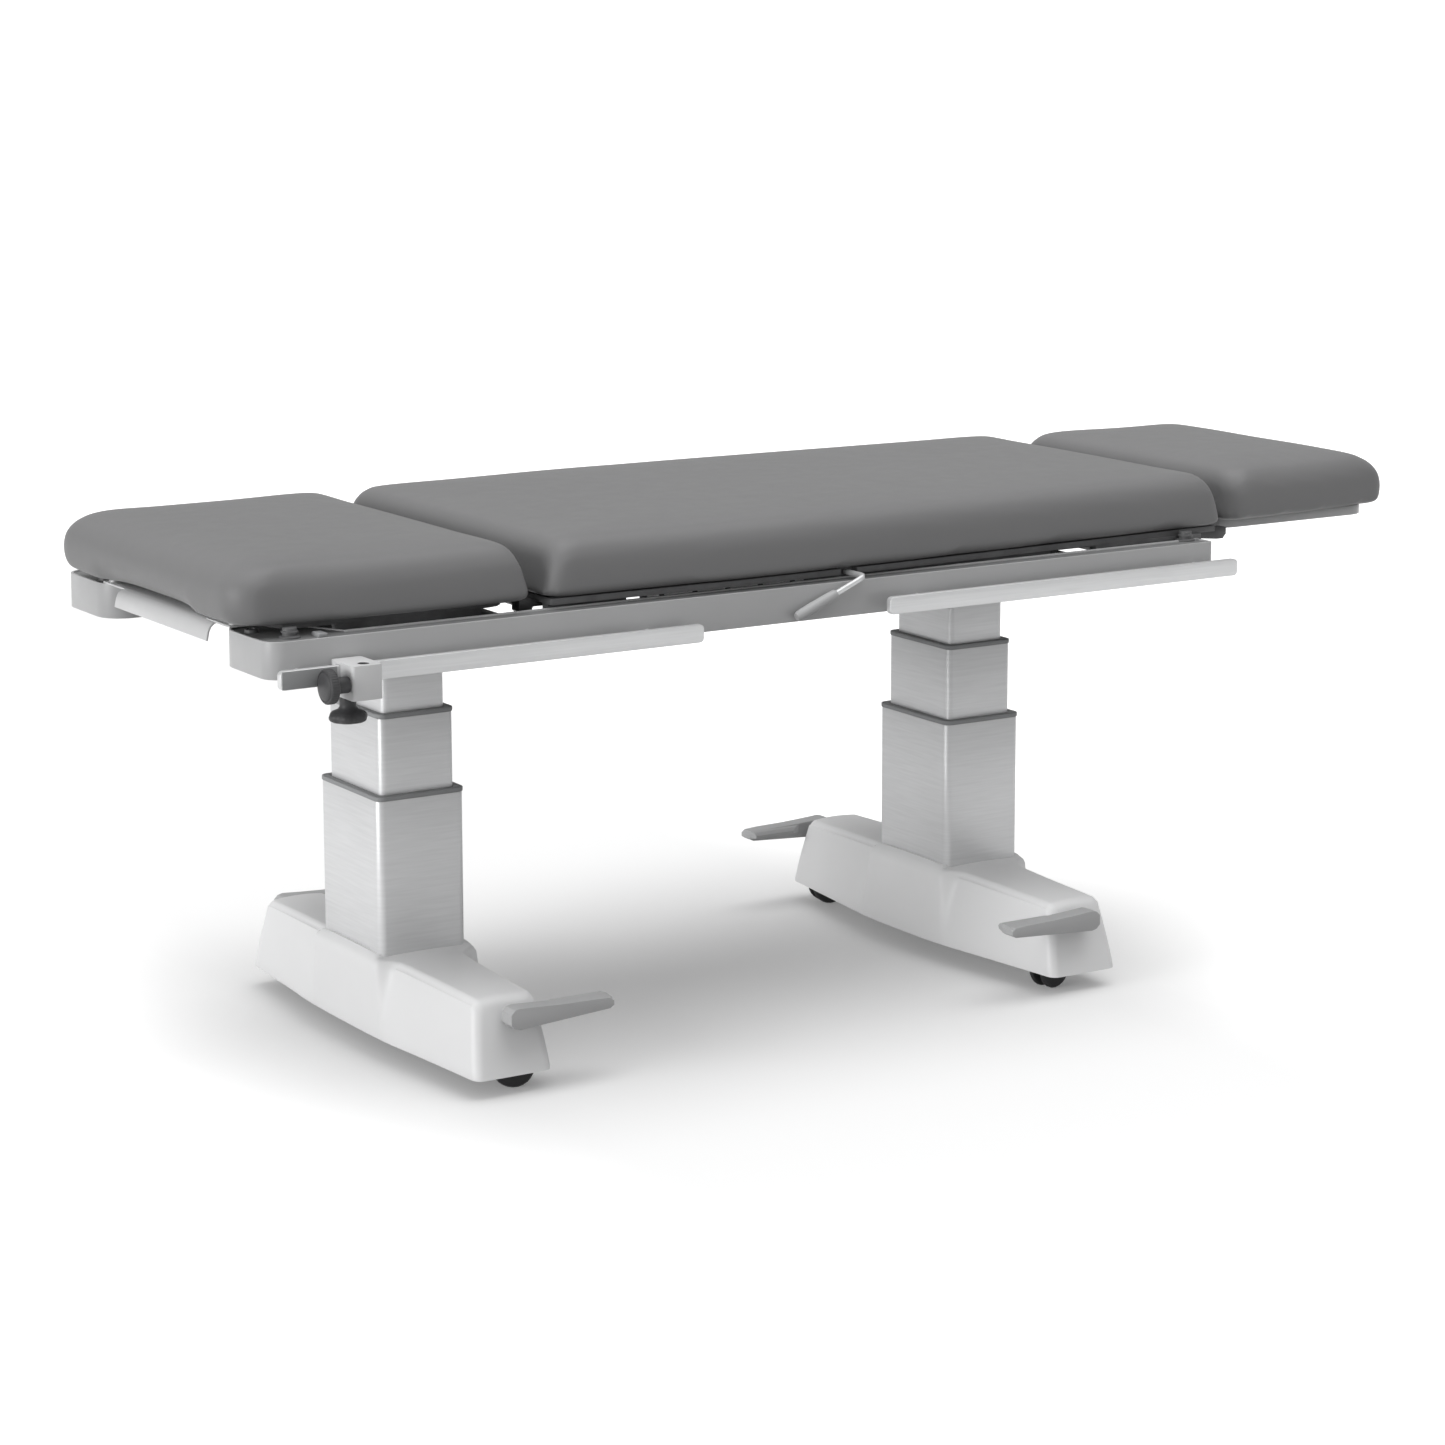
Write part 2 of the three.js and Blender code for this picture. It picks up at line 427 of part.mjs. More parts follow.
function pedalArm() {
  // hub on the shaft's end, arm along +X, foot plate widening towards the base
  const z = SHAFT.z, side = [[-14, z - 7], [-14, z + 7], [-8, z + 13], [0, z + 15], [30, z + 13], [70, z + 11], [120, z + 10],
    [141, z + 8.5], [147, z + 4], [147, z - 2], [141, z - 6], [60, z - 11.5], [0, z - 15], [-8, z - 13]].reverse();
  const foot = [[-371, z + 3], [-367, z + 8.5], [-352, z + 10.5], [-338, z + 9.5], [-332, z + 5], [-334, z], [-348, z - 2]];
  const plate = cut(prismX(foot, 52, 146.5),
    prismZ([[40, -310], [40, -347], [52, -347], [74, -331], [86, -310]], z - 20, z + 30),
    prismZ([[139, -310], [154, -310], [154, -350], [146.5, -346]], z - 20, z + 30));
  const arm = join(prismY(side, -373, -346), plate);
  return cut(arm, rodY(0, z, SHAFT.r + 0.4, -362, -300, 16));
}
function castorParts() {
  const { r, half, trail, stemTop } = CASTOR;
  const w = [[0, -half], [r - 8, -half], [r - 2.5, -half + 1.5], [r, -half + 5], [r, -8], [r - 1.5, -6.5], [4.5, -6.5],
    [4.5, 6.5], [r - 1.5, 6.5], [r, 8], [r, half - 5], [r - 2.5, half - 1.5], [r - 8, half], [0, half]]
    .map(([a, b]) => new THREE.Vector2(a, b));
  const axle = r - FLOOR_DROP;
  const wheels = new THREE.LatheGeometry(w, 26).translate(trail, 0, axle);
  const web = [[-13, 66], [-13, 52], [-3, 34], [3, axle - 9], [trail - 7, axle - 15], [trail + 7, axle - 12], [trail + 11, axle], [trail + 9, 44], [14, 66]];
  const body = cut(join(prismY(web, -5.6, 5.6), rodZ(0, 0, 17, 63.6, stemTop, 18)), rodY(trail, axle, 5, -9, 9, 14));
  return { wheels, body };
}
function baseSet(side, sx) {
  const g = new THREE.Group();
  g.position.x = sx * COLUMN_X;
  g.rotation.z = sx < 0 ? 0 : Math.PI;     // both bases are the same moulding, turned to face each other
  root.add(g);
  const far = sx < 0 ? 1 : -1;             // local direction of the far end
  const skin = cut(coverSkin(0), coverSkin(BASE.wall),
    prismZ(roundRect(STAGE_OUT.ax + 0.9, STAGE_OUT.ay + 0.9, STAGE_OUT.r + 0.9, 4), 100, 160),
    rodY(0, SHAFT.z, 9, -400, 400, 16));
  node(g, `${side}_base_cover`, skin, M.plastic);
  const u = [[-34, 70], [34, 70], [34, 112], [10, 112], [10, 93], [-10, 93], [-10, 112], [-34, 112]];
  const chassis = join(prismY(u, -314, 314), prismZ(roundRect(58, 93, 8, 2), 111.8, 118), rodZ(0, 0, 7, 117, 370, 14));
  node(g, `${side}_chassis`, chassis, M.steel);
  node(g, `${side}_brake_shaft`, rodY(0, SHAFT.z, SHAFT.r, -361, 361, 6), M.steel);
  const nearName = far > 0 ? "near" : "far", farName = far > 0 ? "far" : "near";
  node(g, `${side}_brake_pedal_${nearName}`, pedalArm(), M.pedal);
  const mirrored = pedalArm().applyMatrix4(new THREE.Matrix4().makeScale(1, -1, 1));
  const ix = mirrored.index.array;
  for (let i = 0; i < ix.length; i += 3) { const t = ix[i]; ix[i] = ix[i + 1]; ix[i + 1] = t; }
  node(g, `${side}_brake_pedal_${farName}`, mirrored, M.pedal);
  // each castor stands as it was left, turned its own way
  const turn = (deg) => (deg * Math.PI) / 180;
  for (const [y, rz, name] of [[-CASTOR.y, turn(sx < 0 ? -30 : -10), nearName], [CASTOR.y, turn(sx < 0 ? 0 : 12), farName]]) {
    const c = castorParts();
    node(g, `${side}_castor_fork_${name}`, c.body, M.black, CASTOR.x, y, 0, rz);
    node(g, `${side}_castor_wheels_${name}`, c.wheels, M.rubber, CASTOR.x, y, 0, rz);
  }
  return g;
}
baseSet("left", -1);
baseSet("right", 1);

export default root;
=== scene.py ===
import bpy, bmesh, json, math
import numpy as np
from mathutils import Vector, Matrix


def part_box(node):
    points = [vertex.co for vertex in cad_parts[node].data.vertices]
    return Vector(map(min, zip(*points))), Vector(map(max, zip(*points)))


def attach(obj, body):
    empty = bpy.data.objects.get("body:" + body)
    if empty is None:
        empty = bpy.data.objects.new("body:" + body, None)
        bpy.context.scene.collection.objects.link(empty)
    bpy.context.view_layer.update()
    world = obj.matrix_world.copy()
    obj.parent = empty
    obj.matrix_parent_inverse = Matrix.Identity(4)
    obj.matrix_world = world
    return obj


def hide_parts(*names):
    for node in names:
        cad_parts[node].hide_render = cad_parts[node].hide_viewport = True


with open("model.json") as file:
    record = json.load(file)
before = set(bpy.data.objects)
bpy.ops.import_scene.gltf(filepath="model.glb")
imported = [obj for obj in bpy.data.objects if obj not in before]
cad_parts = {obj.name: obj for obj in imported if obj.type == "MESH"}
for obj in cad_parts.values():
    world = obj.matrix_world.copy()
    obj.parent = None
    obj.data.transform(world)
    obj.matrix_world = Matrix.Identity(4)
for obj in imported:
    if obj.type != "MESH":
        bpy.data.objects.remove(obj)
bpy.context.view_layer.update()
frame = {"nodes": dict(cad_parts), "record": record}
nodes = frame["nodes"]

# the drawing's own origin is midway between the columns: everything below is written in its millimetres
_lo, _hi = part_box("left_column_head")
OFF = Vector(((_lo[0] + _hi[0]) / 2 + 0.486, (_lo[1] + _hi[1]) / 2, _lo[2] - 0.6013))


def D(x, y, z):
    return Vector((x / 1000, y / 1000, z / 1000)) + OFF


# ------------------------------------------------------------------ materials
def new_mat(name, color, rough, metal=0.0, spec=0.5, coat=0.0):
    m = bpy.data.materials.new(name)
    m.use_nodes = True
    nt = m.node_tree
    b = nt.nodes["Principled BSDF"]
    b.inputs["Base Color"].default_value = (*color, 1)
    b.inputs["Roughness"].default_value = rough
    b.inputs["Metallic"].default_value = metal
    b.inputs["Specular IOR Level"].default_value = spec
    if coat:
        b.inputs["Coat Weight"].default_value = coat
        b.inputs["Coat Roughness"].default_value = 0.25
    return m, nt, b


def coords(nt, scale=(1, 1, 1)):
    tc = nt.nodes.new("ShaderNodeTexCoord")
    mp = nt.nodes.new("ShaderNodeMapping")
    mp.inputs["Scale"].default_value = scale
    nt.links.new(tc.outputs["Object"], mp.inputs["Vector"])
    return mp.outputs["Vector"]


def noise_node(nt, vec, scale, detail=4.0, rough=0.55):
    n = nt.nodes.new("ShaderNodeTexNoise")
    n.inputs["Scale"].default_value = scale
    n.inputs["Detail"].default_value = detail
    n.inputs["Roughness"].default_value = rough
    nt.links.new(vec, n.inputs["Vector"])
    return n.outputs["Fac"]


def ramp(nt, fac, lo, hi, c0, c1):
    r = nt.nodes.new("ShaderNodeValToRGB")
    r.color_ramp.elements[0].position, r.color_ramp.elements[1].position = lo, hi
    r.color_ramp.elements[0].color = (*c0, 1)
    r.color_ramp.elements[1].color = (*c1, 1)
    nt.links.new(fac, r.inputs["Fac"])
    return r.outputs["Color"]


def span(nt, fac, lo, hi, a, b):
    r = nt.nodes.new("ShaderNodeMapRange")
    r.inputs["From Min"].default_value, r.inputs["From Max"].default_value = lo, hi
    r.inputs["To Min"].default_value, r.inputs["To Max"].default_value = a, b
    nt.links.new(fac, r.inputs["Value"])
    return r.outputs["Result"]


def bump(nt, bsdf, height, strength, distance, prev=None):
    b = nt.nodes.new("ShaderNodeBump")
    b.inputs["Strength"].default_value = strength
    b.inputs["Distance"].default_value = distance
    nt.links.new(height, b.inputs["Height"])
    if prev is not None:
        nt.links.new(prev, b.inputs["Normal"])
    nt.links.new(b.outputs["Normal"], bsdf.inputs["Normal"])
    return b.outputs["Normal"]


def shades(c, k):
    return tuple(min(1, v * k) for v in c)


def mat_leather(name, c):
    m, nt, b = new_mat(name, c, 0.5, spec=0.42)
    v = coords(nt)
    broad = noise_node(nt, v, 3.2, 3)
    nt.links.new(ramp(nt, broad, 0.3, 0.7, shades(c, 0.985), shades(c, 1.015)), b.inputs["Base Color"])
    vo = nt.nodes.new("ShaderNodeTexVoronoi")
    vo.feature = "DISTANCE_TO_EDGE"
    vo.inputs["Scale"].default_value = 620
    vo.inputs["Randomness"].default_value = 1.0
    nt.links.new(v, vo.inputs["Vector"])
    grain = span(nt, vo.outputs["Distance"], 0.0, 0.12, 0.0, 1.0)
    n1 = bump(nt, b, grain, 0.14, 0.0003)
    fine = noise_node(nt, v, 95, 5)
    bump(nt, b, fine, 0.02, 0.0006, n1)
    nt.links.new(span(nt, noise_node(nt, v, 40, 4), 0.3, 0.7, 0.48, 0.52), b.inputs["Roughness"])
    return m


def mat_paint(name, c, rough=0.36, coat=0.12):
    m, nt, b = new_mat(name, c, rough, coat=coat)
    v = coords(nt)
    nt.links.new(ramp(nt, noise_node(nt, v, 5, 3), 0.25, 0.75, shades(c, 0.97), shades(c, 1.03)), b.inputs["Base Color"])
    bump(nt, b, noise_node(nt, v, 420, 2), 0.05, 0.0004)
    nt.links.new(span(nt, noise_node(nt, v, 60, 4), 0.3, 0.7, rough - 0.04, rough + 0.06), b.inputs["Roughness"])
    return m


def mat_moulded(name, c, rough=0.42):
    m, nt, b = new_mat(name, c, rough, spec=0.45)
    v = coords(nt)
    nt.links.new(ramp(nt, noise_node(nt, v, 4, 3), 0.25, 0.75, shades(c, 0.975), shades(c, 1.02)), b.inputs["Base Color"])
    bump(nt, b, noise_node(nt, v, 900, 3), 0.07, 0.0002)
    nt.links.new(span(nt, noise_node(nt, v, 25, 4), 0.3, 0.7, rough - 0.03, rough + 0.07), b.inputs["Roughness"])
    return m


def mat_brushed(name, c, rough=0.42, metal=0.75, along="xy"):
    m, nt, b = new_mat(name, c, rough, metal)
    sc = (7, 7, 900) if along == "xy" else (6, 900, 900)
    v = coords(nt, sc)
    streak = noise_node(nt, v, 1.0, 3, 0.6)
    v2 = coords(nt, (14, 14, 260) if along == "xy" else (10, 300, 300))
    wide = noise_node(nt, v2, 1.0, 2, 0.5)
    nt.links.new(ramp(nt, wide, 0.3, 0.7, shades(c, 0.96), shades(c, 1.035)), b.inputs["Base Color"])
    nt.links.new(span(nt, streak, 0.3, 0.7, rough - 0.06, rough + 0.08), b.inputs["Roughness"])
    bump(nt, b, streak, 0.10, 0.0002)
    return m


def mat_rubber(name, c, rough=0.7):
    m, nt, b = new_mat(name, c, rough, spec=0.35)
    v = coords(nt)
    nt.links.new(ramp(nt, noise_node(nt, v, 30, 4), 0.3, 0.7, shades(c, 0.85), shades(c, 1.2)), b.inputs["Base Color"])
    bump(nt, b, noise_node(nt, v, 700, 3), 0.15, 0.0003)
    return m


MT = {
    "leather": mat_leather("upholstery", (0.172, 0.172, 0.174)),
    "paint": mat_paint("painted_frame", (0.41, 0.412, 0.416)),
    "moulding": mat_moulded("base_moulding", (0.76, 0.762, 0.766)),
    "alu": mat_brushed("column_profile", (0.63, 0.634, 0.64), 0.42, 0.4),
    "collar": mat_moulded("collar_plastic", (0.27, 0.275, 0.28), 0.5),
    "deck": mat_rubber("deck_board", (0.12, 0.121, 0.123), 0.6),
    "darksteel": mat_paint("deck_steel", (0.10, 0.101, 0.103), 0.5, 0.0),
    # painted shade: the dark sheet that darkens the recesses on top of the side members
    "recess_shade_sheet": mat_paint("recess_shade_steel", (0.19, 0.191, 0.193), 0.5, 0.0),
    "black": mat_paint("black_steel", (0.018, 0.018, 0.019), 0.42, 0.05),
    "rail": mat_brushed("rail_steel", (0.64, 0.645, 0.65), 0.38, 0.5, along="x"),
    "clamp": mat_paint("clamp_casting", (0.62, 0.622, 0.627), 0.4),
    "knob": mat_rubber("knob_plastic", (0.045, 0.045, 0.047), 0.5),
    "pedal": mat_moulded("pedal_plastic", (0.42, 0.422, 0.426), 0.5),
    "tread": mat_rubber("castor_tread", (0.02, 0.02, 0.021), 0.6),
    "grip": mat_moulded("grip_plastic", (0.40, 0.403, 0.407), 0.45),
}


# ------------------------------------------------------------------ mesh helpers
def finish_mesh(ob, angle=32):
    me = ob.data
    bm = bmesh.new()
    bm.from_mesh(me)
    bmesh.ops.recalc_face_normals(bm, faces=bm.faces)
    lim = math.radians(angle)
    for f in bm.faces:
        f.smooth = True
    for e in bm.edges:
        e.smooth = not (len(e.link_faces) == 2 and e.calc_face_angle(0) > lim)
    bm.to_mesh(me)
    bm.free()


def add_mesh(name, verts, faces, mat, body, angle=32):
    me = bpy.data.meshes.new(name)
    me.from_pydata([tuple(v) for v in verts], [], faces)
    me.update()
    ob = bpy.data.objects.new(name, me)
    bpy.context.collection.objects.link(ob)
    me.materials.append(MT[mat])
    finish_mesh(ob, angle)
    if body:
        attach(ob, body)
    return ob


def body_of(node):
    for b, ns in frame["record"]["behaviour"]["bodies"].items():
        if node in ns:
            return b


def refine(node, mat, bevel=1.0, segs=2, angle=35, smooth=38):
    """The node's own shape with its sharp edges rounded over, shown in place of the node."""
    me = nodes[node].data.copy()
    me.name = node + "_look"
    ob = bpy.data.objects.new(node + "_look", me)
    bpy.context.collection.objects.link(ob)
    bm = bmesh.new()
    bm.from_mesh(me)
    bmesh.ops.remove_doubles(bm, verts=bm.verts, dist=2e-5)
    bmesh.ops.dissolve_limit(bm, angle_limit=math.radians(0.6), verts=bm.verts, edges=bm.edges)
    lim = math.radians(angle)
    es = [e for e in bm.edges if len(e.link_faces) == 2 and e.calc_face_angle(0) > lim]
    if bevel > 0 and es:
        bmesh.ops.bevel(bm, geom=es, offset=bevel / 1000, segments=segs, profile=0.5, affect="EDGES", clamp_overlap=True)
    bm.to_mesh(me)
    bm.free()
    me.materials.clear()
    me.materials.append(MT[mat])
    for p in me.polygons:
        p.material_index = 0
    finish_mesh(ob, smooth)
    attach(ob, body_of(node))
    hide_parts(node)
    return ob


def lathe(name, profile, at, axis, mat, body, n=40, angle=32):
    """profile: (radius, height) in mm, from the axis and back to it; axis x, y or z."""
    verts, faces = [], []
    rings = []
    for r, h in profile:
        if r < 1e-6:
            rings.append([len(verts)])
            verts.append((0, 0, h))
        else:
            rings.append(list(range(len(verts), len(verts) + n)))
            verts += [(r * math.cos(2 * math.pi * i / n), r * math.sin(2 * math.pi * i / n), h) for i in range(n)]
    for a, b in zip(rings, rings[1:]):
        for i in range(n):
            j = (i + 1) % n
            if len(a) == 1 and len(b) == 1:
                continue
            if len(a) == 1:
                faces.append((a[0], b[i], b[j]))
            elif len(b) == 1:
                faces.append((a[i], b[0], a[j]))
            else:
                faces.append((a[i], a[j], b[j], b[i]))
    if len(rings[0]) > 1 and len(rings[-1]) > 1:   # a ring: closes on itself
        a, b = rings[-1], rings[0]
        faces += [(a[i], a[(i + 1) % n], b[(i + 1) % n], b[i]) for i in range(n)]
    out = []
    for x, y, z in verts:
        p = {"z": (x, y, z), "x": (z, x, y), "y": (y, z, x)}[axis]
        out.append(D(at[0] + p[0], at[1] + p[1], at[2] + p[2]))
    return add_mesh(name, out, faces, mat, body, angle)


def slab(name, x0, x1, y0, y1, z0, z1, mat, body, bevel=0.6):
    verts = [D(x, y, z) for x in (x0, x1) for y in (y0, y1) for z in (z0, z1)]
    faces = [(0, 1, 3, 2), (4, 6, 7, 5), (0, 4, 5, 1), (2, 3, 7, 6), (0, 2, 6, 4), (1, 5, 7, 3)]
    ob = add_mesh(name, verts, faces, mat, None)
    bm = bmesh.new()
    bm.from_mesh(ob.data)
    bmesh.ops.bevel(bm, geom=bm.edges[:], offset=bevel / 1000, segments=2, profile=0.5, affect="EDGES", clamp_overlap=True)
    bm.to_mesh(ob.data)
    bm.free()
    finish_mesh(ob, 50)
    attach(ob, body)
    return ob


def table(t, x):
    xs = [r[0] for r in t]
    return [float(np.interp(x, xs, [r[k] for r in t])) for k in range(1, len(t[0]))]


# ------------------------------------------------------------------ upholstered sections
def pad_mesh(name, x0, x1, widths, r0, r1, end0, end1, side, crown=3.0, notch=0.0, shrink=1.5):
    zs = [664.6, 666, 669, 673, 679, 686, 693, 700, 706, 712, 717, 722, 726.5, 730.5, 734, 737, 739.5, 741.5, 743, 744.2, 745]
    rings = []
    nc, nm = 10, 26
    for z in zs:
        a, b, e = x0 + table(end0, z)[0] + shrink, x1 - table(end1, z)[0] - shrink, table(side, z)[0] + shrink
        w = lambda x: table(widths, x)[0] - e
        ring = []

        def corner(cx, cy, r, a0):
            for i in range(nc + 1):
                t = math.radians(a0 + 90 * i / nc)
                ring.append((cx + r * math.cos(t), cy + r * math.sin(t), z))

        fr = [(i + 1) / (nm + 1) for i in range(nm)]
        corner(a + r0, -w(a + r0) + r0, r0, 180)
        for f in fr:
            x = a + r0 + f * (b - a - r0 - r1)
            ring.append((x, -w(x), z))
        corner(b - r1, -w(b - r1) + r1, r1, 270)
        wr = w(b - r1) - r1
        for f in fr:
            ring.append((b, -wr + 2 * wr * f, z))
        corner(b - r1, w(b - r1) - r1, r1, 0)
        for f in reversed(fr):
            x = a + r0 + f * (b - a - r0 - r1)
            ring.append((x, w(x), z))
        corner(a + r0, w(a + r0) - r0, r0, 90)
        wl = w(a + r0) - r0
        for f in fr:
            y = wl - 2 * wl * f
            dent = notch * max(0.0, 1 - (z - 664) / 34) * max(0.0, 1 - (abs(y) / 165) ** 4)
            ring.append((a + dent, y, z))
        rings.append(ring)
    # the flat top closes with rings that shrink towards the middle and rise into a slight crown
    last = rings[-1]
    cx = (min(p[0] for p in last) + max(p[0] for p in last)) / 2
    for s in (0.96, 0.9, 0.8, 0.65, 0.45, 0.2):
        rings.append([(cx + (p[0] - cx) * s, p[1] * s, 745 + crown * (1 - s ** 2) ** 0.8) for p in last])
    first = rings[0]
    for s in (0.9, 0.5, 0.1):
        rings.insert(0, [(cx + (p[0] - cx) * s, p[1] * s, 664.6) for p in first])
    n = len(first)
    verts = [D(*p) for r in rings for p in r]
    faces = []
    for k in range(len(rings) - 1):
        for i in range(n):
            j = (i + 1) % n
            faces.append((k * n + i, k * n + j, (k + 1) * n + j, (k + 1) * n + i))
    faces.append(tuple(reversed(range(n))))
    faces.append(tuple((len(rings) - 1) * n + i for i in range(n)))
    me = bpy.data.meshes.new(name)
    me.from_pydata([tuple(v) for v in verts], [], faces)
    me.update()
    ob = bpy.data.objects.new(name, me)
    bpy.context.collection.objects.link(ob)
    return ob


def verts_of(ob):
    a = np.empty(len(ob.data.vertices) * 3)
    ob.data.vertices.foreach_get("co", a)
    return a.reshape(-1, 3)


def apply_modifier(ob, name):
    bpy.context.view_layer.objects.active = ob
    ob.select_set(True)
    with bpy.context.temp_override(object=ob, active_object=ob, selected_objects=[ob]):
        bpy.ops.object.modifier_apply(modifier=name)


def pad(name, node, body, voxel, cap, *args, **kw):
    ob = pad_mesh(name, *args, **kw)
    m = ob.modifiers.new("remesh", "REMESH")
    m.mode = "VOXEL"
    m.voxel_size = voxel / 1000
    m.use_smooth_shade = True
    apply_modifier(ob, "remesh")
    m = ob.modifiers.new("relax", "SMOOTH")
    m.factor, m.iterations = 0.5, 4
    apply_modifier(ob, "relax")
    start = verts_of(ob)
    c = ob.modifiers.new("cloth", "CLOTH")
    s = c.settings
    s.quality = 5
    s.mass = 0.35
    s.tension_stiffness = s.compression_stiffness = 40
    s.shear_stiffness = 20
    s.bending_stiffness = 4
    s.use_pressure = True
    s.uniform_pressure_force = 4
    s.effector_weights.gravity = 0
    g = ob.vertex_groups.new(name="held")
    low = [int(i) for i in np.nonzero(start[:, 2] < OFF.z + 0.6685)[0]]
    g.add(low, 1.0, "REPLACE")
    s.vertex_group_mass = "held"
    c.collision_settings.use_collision = False
    c.point_cache.frame_start, c.point_cache.frame_end = 1, 20
    sc = bpy.context.scene
    for f in range(1, 21):
        sc.frame_set(f)
    apply_modifier(ob, "cloth")
    sc.frame_set(1)
    end = verts_of(ob)
    d = end - start
    size = np.linalg.norm(d, axis=1)
    lim = cap / 1000
    k = np.where(size > 1e-9, lim * np.tanh(size / lim) / np.maximum(size, 1e-9), 0)
    # even the swelling out over the form, so that it is left without wrinkles
    disp = d * k[:, None]
    e = np.empty(len(ob.data.edges) * 2, dtype=np.int64)
    ob.data.edges.foreach_get("vertices", e)
    e = e.reshape(-1, 2)
    a, b = np.concatenate([e[:, 0], e[:, 1]]), np.concatenate([e[:, 1], e[:, 0]])
    deg = np.maximum(np.bincount(a, minlength=len(disp)), 1)
    for _ in range(60):
        near = np.stack([np.bincount(a, weights=disp[b, i], minlength=len(disp)) for i in range(3)], axis=1)
        disp = 0.5 * disp + 0.5 * near / deg[:, None]
    out = start + disp
    out[:, 2] = np.maximum(out[:, 2], OFF.z + 0.6643)
    ob.data.vertices.foreach_set("co", out.ravel())
    ob.data.update()
    m = ob.modifiers.new("relax", "SMOOTH")
    m.factor, m.iterations = 0.5, 3
    apply_modifier(ob, "relax")
    m = ob.modifiers.new("fine", "SUBSURF")
    m.levels = m.render_levels = 1
    apply_modifier(ob, "fine")
    for p in ob.data.polygons:
        p.use_smooth = True
    ob.data.materials.clear()
    ob.data.materials.append(MT["leather"])
    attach(ob, body)
    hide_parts(node)
    return ob


joint_end = [(664, 0.5), (672, 2.2), (686, 6), (700, 9.8), (716, 14.2), (726, 17.6), (733, 21.5), (738, 25.5), (742, 31), (744.2, 37), (745, 46)]
side_edge = [(664, 3.5), (670, 0.6), (680, 0), (704, 0), (712, 1.0), (720, 3.2), (728, 7.5), (734, 12), (738, 16), (741, 20), (743, 24), (744.2, 28.5), (745, 37)]
left_end = [(664, 16), (670, 8), (680, 2), (692, 0), (706, 0), (714, 1), (722, 4.5), (729, 10), (735, 17), (739, 25), (742, 35), (744.2, 47), (745, 60)]
right_end = [(664, 8), (672, 3), (686, 0.5), (700, 0), (712, 3.5), (720, 8), (728, 14.5), (735, 25), (740, 36), (743, 46), (745, 62)]
pad("left_pad_cover", "left_pad", "left_section", 7.0, 4.0, -868, -420,
    [(-868, 308), (-700, 313), (-420, 316)], 48, 16, left_end, joint_end, side_edge, notch=26)
pad("centre_pad_cover", "centre_pad", "upper_frame", 8.0, 4.0, -412, 791,
    [(-412, 323), (-260, 327), (-100, 331.5), (0, 331.5), (140, 327), (350, 318), (550, 309), (792, 301)], 24, 18, joint_end, joint_end, side_edge)
pad("right_pad_cover", "right_pad", "right_section", 7.0, 4.0, 799, 1157,
    [(798, 287), (850, 278), (927, 271), (1100, 256), (1157, 251)], 36, 26, joint_end, right_end, side_edge)

# ------------------------------------------------------------------ base covers
BASE_T = [(0, 80, 92, 80.5, 137.5), (60, 80, 92, 80.5, 137), (92, 79, 90, 80, 135.5), (103, 79, 89.5, 79, 134), (108, 79, 89, 76, 133), (113, 78.5, 88.3, 67, 132),
          (118, 78.2, 87.8, 59, 131.5), (124, 78, 87.2, 55, 131.2), (132, 77.5, 86.5, 53.5, 131), (145, 76.5, 85, 51.5, 130.6), (200, 71.5, 78, 48.5, 129), (260, 67, 71, 46.5, 127.6),
          (320, 62.5, 63.5, 44.8, 126.4), (356, 60, 60, 44, 125.5)]


